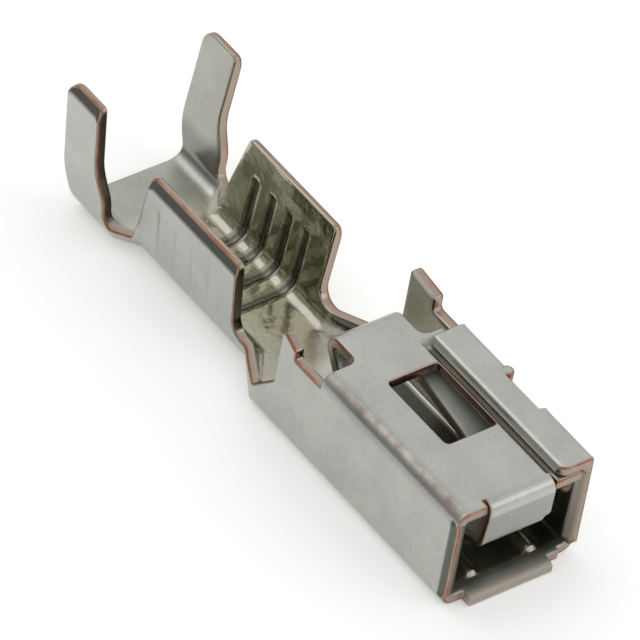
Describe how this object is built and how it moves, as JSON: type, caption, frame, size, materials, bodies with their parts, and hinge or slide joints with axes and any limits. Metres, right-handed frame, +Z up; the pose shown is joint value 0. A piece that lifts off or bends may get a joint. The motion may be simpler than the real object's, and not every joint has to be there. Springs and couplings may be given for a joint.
{
  "type": "crimp socket contact",
  "caption": "Folded sheet-metal crimp contact: box socket with top window and guard tongue, open wire barrel with serrations, and taller insulation barrel.",
  "frame": {"origin": "middle of the socket box's flat underside, halfway along the folded walls", "axes": "+X along the contact towards the mouth, +Z up through the window in the top wall, +Y towards the wall whose flange laps over the top"},
  "size_m": [0.0136, 0.0036, 0.0034],
  "materials": {
    "tinned_strip": "pre-tinned copper alloy strip, satin bright, bare copper on the stamped edges"
  },
  "bodies": {
    "root": {"socket_contact": "tinned_strip"}
  },
  "joints": []
}
